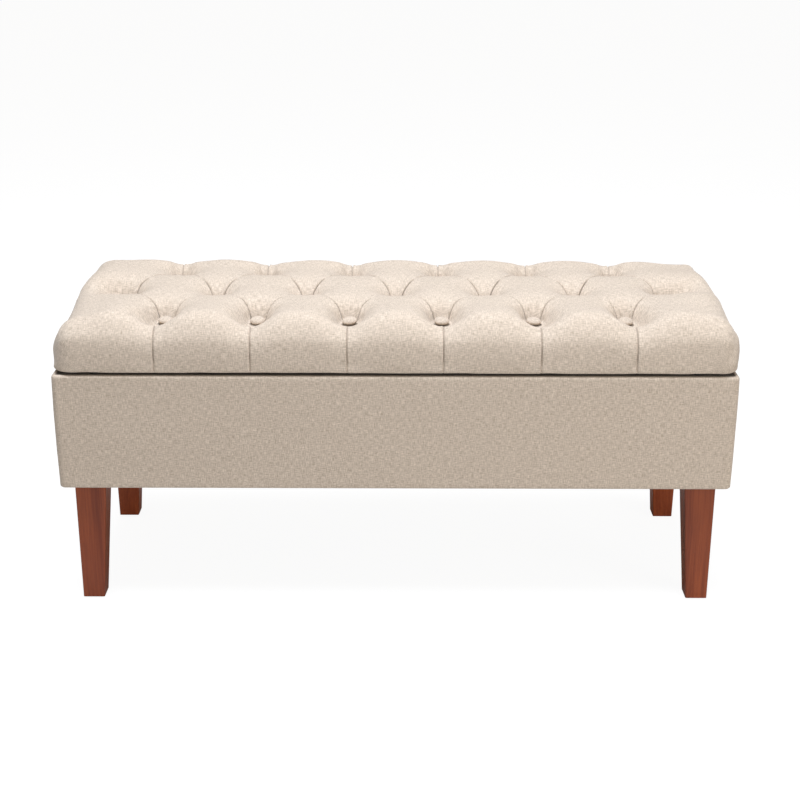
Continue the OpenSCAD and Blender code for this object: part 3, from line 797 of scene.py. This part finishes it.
def linen(name, colour, depth=1.0):
    """Heathered linen-look plain weave: slubby cream and taupe yarns both ways."""
    n = Nodes(name)
    cloth = n.add("Attribute", attribute_name="cloth", attribute_type="GEOMETRY").outputs["Vector"]
    shade = n.add("SeparateXYZ", {0: cloth}).outputs[2]
    flat = n.add("VectorMath", {0: cloth, 1: (1, 1, 0)}, operation="MULTIPLY").outputs[0]
    # yarns wander a little, so that no thread is ruler straight
    wander = n.add("TexNoise", {"Vector": flat, "Scale": 90.0, "Detail": 1.0}).outputs["Color"]
    bent = n.add("VectorMath", {0: wander, 1: (0.0007, 0.0007, 0)}, operation="MULTIPLY").outputs[0]
    flat = n.add("VectorMath", {0: flat, 1: bent}, operation="ADD").outputs[0]
    weft = n.noise(n.stretched(flat, 120, 840), 1.0, 2.0, 0.62)
    warp = n.noise(n.stretched(flat, 840, 105), 1.0, 2.0, 0.62)
    slub = n.noise(n.stretched(flat, 45, 420), 1.0, 1.0)
    cloud = n.noise(flat, 26.0, 2.0)
    yarn = n.math("ADD", n.ramp(weft, 0.33, 0.67), n.ramp(warp, 0.31, 0.69))
    yarn = n.math("MULTIPLY", yarn, 0.5)
    dark = [c * f for c, f in zip(colour, (0.72, 0.70, 0.67))] + [1]
    light = [min(c * f, 1) for c, f in zip(colour, (1.205, 1.22, 1.245))] + [1]
    colour_out = n.mix(n.ramp(yarn, 0.18, 0.82), tuple(dark), tuple(light))
    fleck = n.ramp(slub, 0.60, 0.74)
    colour_out = n.mix(n.math("MULTIPLY", fleck, 0.18), colour_out, tuple([c * 0.72 for c in colour] + [1]))
    colour_out = n.mix(n.ramp(cloud, 0.3, 0.7, 0.0, 0.03), colour_out, (0.42, 0.36, 0.30, 1))
    # painted shade: the cloth attribute's third number darkens the linen towards near-black in the creases
    # and pleats, round and under the buttons, and on the box's rim under the lid
    colour_out = n.mix(n.ramp(shade, 0.0, 1.0, 0.0, 0.93), colour_out, (0.030, 0.018, 0.012, 1))
    # the over-and-under of the weave
    parts = n.add("SeparateXYZ", {0: flat})
    thread = 2 * math.pi / 0.0011
    over = n.math("SINE", n.math("MULTIPLY", parts.outputs[0], thread))
    under = n.math("SINE", n.math("MULTIPLY", parts.outputs[1], thread))
    weave = n.math("MULTIPLY", over, under)
    height = n.math("ADD", n.math("MULTIPLY", weave, 0.5), n.math("MULTIPLY", yarn, 1.6))
    n.bump(height, 0.42 * depth, 0.0004)
    n.surface(Base_Color=colour_out, Roughness=n.ramp(yarn, 0.2, 0.8, 0.80, 0.94))
    n.shader.inputs["Sheen Weight"].default_value = 0.22
    n.shader.inputs["Sheen Roughness"].default_value = 0.5
    n.shader.inputs["Sheen Tint"].default_value = (1.0, 0.96, 0.90, 1)
    n.shader.inputs["Specular IOR Level"].default_value = 0.28
    return n.material


def stained_wood(name, offset, tone):
    """Reddish-brown stain over a straight, fine grain, under satin lacquer."""
    n = Nodes(name)
    # tone is painted light: one stain made lighter or darker per leg for how the leg is lit
    dark = [c * tone for c in (0.165, 0.028, 0.0075)] + [1]
    light = [c * tone for c in (0.335, 0.077, 0.023)] + [1]
    place = n.add("TexCoord").outputs["Object"]
    place = n.add("VectorMath", {0: place, 1: offset}, operation="ADD").outputs[0]
    sway = n.add("TexNoise", {"Vector": place, "Scale": 5.0, "Detail": 1.0}).outputs["Color"]
    sway = n.add("VectorMath", {0: sway, 1: (0.012, 0.012, 0)}, operation="MULTIPLY").outputs[0]
    place = n.add("VectorMath", {0: place, 1: sway}, operation="ADD").outputs[0]
    broad = n.noise(n.stretched(place, 42, 42, 1.6), 1.0, 3.0, 0.55)
    fine = n.noise(n.stretched(place, 420, 420, 7), 1.0, 3.0, 0.65)
    pores = n.noise(n.stretched(place, 1300, 1300, 26), 1.0, 2.0, 0.6)
    cloud = n.noise(place, 11.0, 2.0)
    grain = n.math("ADD", n.math("MULTIPLY", broad, 0.6), n.math("MULTIPLY", fine, 0.4))
    colour = n.mix(n.ramp(grain, 0.36, 0.64), tuple(dark), tuple(light))
    colour = n.mix(n.ramp(pores, 0.60, 0.72, 0.0, 0.45), colour, (0.060, 0.018, 0.010, 1))
    colour = n.mix(n.ramp(cloud, 0.35, 0.65, 0.0, 0.25), colour, (0.20, 0.050, 0.022, 1))
    n.surface(Base_Color=colour, Roughness=n.ramp(fine, 0.3, 0.7, 0.36, 0.48))
    n.bump(n.math("SUBTRACT", n.math("MULTIPLY", fine, 0.5), pores), 0.18, 0.0004)
    n.shader.inputs["Specular IOR Level"].default_value = 0.32
    n.shader.inputs["Coat Weight"].default_value = 0.07
    n.shader.inputs["Coat Roughness"].default_value = 0.28
    return n.material


def bare_wood(name, light, dark, ply):
    """Unfinished birch plywood or sawn pine."""
    n = Nodes(name)
    place = n.add("TexCoord").outputs["Object"]
    sway = n.add("TexNoise", {"Vector": place, "Scale": 3.0, "Detail": 2.0}).outputs["Color"]
    sway = n.add("VectorMath", {0: sway, 1: (0.02, 0.03, 0.03)}, operation="MULTIPLY").outputs[0]
    place = n.add("VectorMath", {0: place, 1: sway}, operation="ADD").outputs[0]
    broad = n.noise(n.stretched(place, 1.8, 26, 30), 1.0, 4.0, 0.6)
    fine = n.noise(n.stretched(place, 9, 500, 500), 1.0, 2.0, 0.6)
    grain = n.math("ADD", n.math("MULTIPLY", broad, 0.7), n.math("MULTIPLY", fine, 0.3))
    colour = n.mix(n.ramp(grain, 0.34, 0.66), dark, light)
    if ply:
        # the layers show where a panel's edge is seen
        parts = n.add("SeparateXYZ", {0: place})
        layers = n.math("SINE", n.math("MULTIPLY", parts.outputs[2], 2 * math.pi / 0.0032))
        colour = n.mix(n.ramp(layers, 0.2, 0.9, 0.0, 0.16), colour, dark)
    n.surface(Base_Color=colour, Roughness=n.ramp(fine, 0.3, 0.7, 0.62, 0.80))
    n.bump(fine, 0.25, 0.0004)
    return n.material


def spunbond(name, tone):
    """Spunbond cloth: random fibres, with a grid of pressed points."""
    n = Nodes(name)
    place = n.add("TexCoord").outputs["Object"]
    fibres = n.noise(place, 900.0, 3.0, 0.7)
    cloud = n.noise(place, 60.0, 2.0)
    dots = n.add("TexVoronoi", {"Vector": place, "Scale": 420.0, "Randomness": 0.12}).outputs[0]
    pressed = n.ramp(dots, 0.16, 0.30)
    dark = tuple([tone * 0.55] * 3 + [1])
    light = tuple([tone * 1.5] * 3 + [1])
    colour = n.mix(n.math("MULTIPLY", n.ramp(fibres, 0.3, 0.7), pressed), dark, light)
    colour = n.mix(n.ramp(cloud, 0.3, 0.7, 0.0, 0.3), colour, dark)
    n.surface(Base_Color=colour, Roughness=n.ramp(pressed, 0, 1, 0.55, 0.9))
    n.bump(n.math("ADD", pressed, n.math("MULTIPLY", fibres, 0.4)), 0.3, 0.0003)
    return n.material


def metal(name, tone, roughness, brushed):
    """Plated steel with faint rolling or plating marks and a few handling smudges."""
    n = Nodes(name)
    place = n.add("TexCoord").outputs["Object"]
    stretch = (60, 1400, 1400) if brushed else (500, 500, 500)
    marks = n.noise(n.stretched(place, *stretch), 1.0, 3.0, 0.6)
    smudge = n.noise(place, 45.0, 3.0)
    dark = tuple([c * 0.82 for c in tone] + [1])
    light = tuple([min(c * 1.08, 1) for c in tone] + [1])
    colour = n.mix(n.ramp(marks, 0.3, 0.7), dark, light)
    rough = n.math("ADD", n.ramp(marks, 0.3, 0.7, roughness - 0.05, roughness + 0.05),
                   n.ramp(smudge, 0.4, 0.7, 0.0, 0.10))
    n.surface(Base_Color=colour, Roughness=rough, Metallic=1.0)
    n.bump(marks, 0.08, 0.0002)
    return n.material


def plain(name, colour, roughness, grain, bump):
    """A moulded or cut material: nylon, rubber, foam or twine."""
    n = Nodes(name)
    place = n.add("TexCoord").outputs["Object"]
    fine = n.noise(place, grain, 3.0, 0.6)
    cloud = n.noise(place, grain / 14, 2.0)
    dark = tuple([c * 0.8 for c in colour] + [1])
    light = tuple([min(c * 1.12, 1) for c in colour] + [1])
    tone = n.mix(n.ramp(fine, 0.3, 0.7), dark, light)
    tone = n.mix(n.ramp(cloud, 0.35, 0.65, 0.0, 0.3), tone, dark)
    n.surface(Base_Color=tone, Roughness=n.ramp(fine, 0.3, 0.7, roughness - 0.08, roughness + 0.06))
    n.bump(fine, bump, 0.0006)
    return n.material


LINEN = (0.600, 0.506, 0.412)
seat_linen = linen("seat_linen", LINEN)
base_linen = linen("base_linen", tuple(c * f for c, f in zip(LINEN, (0.97, 0.965, 0.96))))
button_linen = linen("button_linen", LINEN, 1.2)
birch = bare_wood("birch_ply", (0.62, 0.47, 0.30, 1), (0.45, 0.31, 0.17, 1), True)
pine = bare_wood("sawn_pine", (0.66, 0.49, 0.29, 1), (0.46, 0.29, 0.13, 1), False)
lining_cloth = spunbond("black_lining", 0.030)
dust_cloth = spunbond("black_dust_cloth", 0.024)
zinc = metal("zinc_plate", (0.62, 0.61, 0.58), 0.36, False)
nickel = metal("nickel_plate", (0.56, 0.55, 0.53), 0.26, True)
nylon = plain("black_nylon", (0.022, 0.022, 0.023), 0.42, 900.0, 0.15)
rubber = plain("black_rubber", (0.018, 0.018, 0.018), 0.75, 1500.0, 0.25)
foam_material = plain("cream_foam", (0.78, 0.74, 0.62), 0.9, 700.0, 0.8)
twine_material = plain("waxed_twine", (0.72, 0.69, 0.60), 0.6, 2500.0, 0.6)

SLOT_LOOKS = {
    "plywood": birch, "pine": pine, "foam": foam_material, "lining": lining_cloth,
    "nonwoven": dust_cloth, "zinc_steel": zinc, "nickel_steel": nickel,
    "glide_plastic": nylon, "bumper_rubber": rubber, "twine": twine_material,
}
# where each leg was cut from the plank, and a factor on its stain's brightness, chosen so that the leg
# looks as light under these lamps as the real one does: painted light, the rear legs lit brighter and the
# front right one shaded darker than the stain itself
LEG_CUTS_AND_PAINTED_LIGHT = {
    "leg_front_left": ((0.31, 0.11, 0.2), 1.0), "leg_front_right": ((1.7, 0.43, 0.9), 0.93),
    "leg_rear_left": ((2.9, 1.3, 0.4), 1.5), "leg_rear_right": ((4.2, 2.1, 1.6), 1.5),
}


def finish_cad_nodes():
    slots = {s["node"]: s["material_slot"] for s in frame["record"]["subparts"]}
    for name, obj in frame["nodes"].items():
        if name in LEG_CUTS_AND_PAINTED_LIGHT:
            material = stained_wood(f"{name}_stain", *LEG_CUTS_AND_PAINTED_LIGHT[name])
        else:
            material = SLOT_LOOKS.get(slots[name])
        if material is None:
            continue
        obj.data.materials.clear()
        obj.data.materials.append(material)


# ---------------------------------------------------------------- pieces

finish_cad_nodes()

seat = seat_cover()
seat.data.materials.append(seat_linen)
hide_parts("seat_cover")
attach(seat, "lid")

foam = seat_foam()
foam.data.materials.append(foam_material)
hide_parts("seat_foam")
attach(foam, "lid")

box_cloth = base_fabric()
box_cloth.data.materials.append(base_linen)
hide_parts("base_cover")
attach(box_cloth, "base")

for seed, (row, places) in enumerate(BUTTON_ROWS.items()):
    row_of_buttons = button_row(f"covered_buttons_{row}", places, 31 + seed)
    row_of_buttons.data.materials.append(button_linen)
    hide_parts(f"buttons_{row}_row")
    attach(row_of_buttons, "lid")

# ---------------------------------------------------------------- floor, light and camera

FAR = 90
floor = mesh_object(
    "floor",
    [(-FAR, -FAR, 0), (FAR, -FAR, 0), (FAR, FAR, 0), (-FAR, FAR, 0)],
    [(0, 1, 2, 3)],
)
floor_look = bpy.data.materials.new("pale_floor")
floor_look.use_nodes = True
floor_tree = floor_look.node_tree
floor_tree.nodes.clear()
# the camera sees it almost white, and it throws back less light than it seems to
floor_rays = floor_tree.nodes.new("ShaderNodeLightPath")
pale = floor_tree.nodes.new("ShaderNodeBsdfDiffuse")
pale.inputs["Color"].default_value = (0.62, 0.61, 0.60, 1)
glow = floor_tree.nodes.new("ShaderNodeEmission")
glow.inputs["Strength"].default_value = 0.93
lit = floor_tree.nodes.new("ShaderNodeBsdfDiffuse")
lit.inputs["Color"].default_value = (0.14, 0.14, 0.14, 1)
both = floor_tree.nodes.new("ShaderNodeAddShader")
seen = floor_tree.nodes.new("ShaderNodeMixShader")
floor_output = floor_tree.nodes.new("ShaderNodeOutputMaterial")
floor_tree.links.new(lit.outputs[0], both.inputs[0])
floor_tree.links.new(glow.outputs[0], both.inputs[1])
floor_tree.links.new(floor_rays.outputs["Is Camera Ray"], seen.inputs[0])
floor_tree.links.new(pale.outputs[0], seen.inputs[1])
floor_tree.links.new(both.outputs[0], seen.inputs[2])
floor_tree.links.new(seen.outputs[0], floor_output.inputs[0])
floor.data.materials.append(floor_look)


def softbox(name, place, target, size, power, tint):
    data = bpy.data.lights.new(name, "AREA")
    data.shape = "RECTANGLE"
    data.size, data.size_y = size
    data.energy = power
    data.color = tint
    obj = bpy.data.objects.new(name, data)
    bpy.context.scene.collection.objects.link(obj)
    obj.location = place
    obj.rotation_euler = (Vector(target) - Vector(place)).to_track_quat("-Z", "Y").to_euler()
    obj.visible_camera = False
    return obj


softbox("key", (-0.1, -0.55, 3.2), (0, 0, 0.35), (1.8, 1.3), 118, (0.95, 1.0, 1.09))
softbox("front_fill", (0.3, -3.4, 1.0), (0, 0, 0.3), (3.2, 1.4), 13, (1.0, 0.98, 0.94))
softbox("right_fill", (2.3, -1.9, 0.9), (0.3, 0, 0.3), (1.2, 1.2), 19, (1.0, 0.95, 0.88))

world = bpy.data.worlds.new("studio")
bpy.context.scene.world = world
world.use_nodes = True
world_tree = world.node_tree
background = world_tree.nodes["Background"]
world_rays = world_tree.nodes.new("ShaderNodeLightPath")
tint = world_tree.nodes.new("ShaderNodeMix")
tint.data_type = "RGBA"
tint.inputs[6].default_value = (1.0, 0.94, 0.86, 1)
tint.inputs[7].default_value = (1.0, 1.0, 1.0, 1)
world_tree.links.new(world_rays.outputs["Is Camera Ray"], tint.inputs[0])
world_tree.links.new(tint.outputs[2], background.inputs[0])
strength = world_tree.nodes.new("ShaderNodeMix")
strength.inputs[2].default_value = 0.27
strength.inputs[3].default_value = 1.0
world_tree.links.new(world_rays.outputs["Is Camera Ray"], strength.inputs[0])
world_tree.links.new(strength.outputs[0], background.inputs[1])

bpy.context.scene.view_settings.view_transform = "Standard"

CAMERA_PLACE = (0.0072, base_lo[1] - 2.0934, 1.1132)
CAMERA_PITCH = math.radians(19.86)
CAMERA_ROLL = math.radians(0.15)
SENSOR = 36.0
FOCAL = 64.35

camera_data = bpy.data.cameras.new("camera")
camera_data.sensor_width = SENSOR
camera_data.lens = FOCAL
camera = bpy.data.objects.new("camera", camera_data)
camera.matrix_world = (
    Matrix.Translation(CAMERA_PLACE)
    @ Matrix.Rotation(math.pi / 2 - CAMERA_PITCH, 4, "X")
    @ Matrix.Rotation(CAMERA_ROLL, 4, "Z")
)
bpy.context.scene.collection.objects.link(camera)
bpy.context.scene.camera = camera
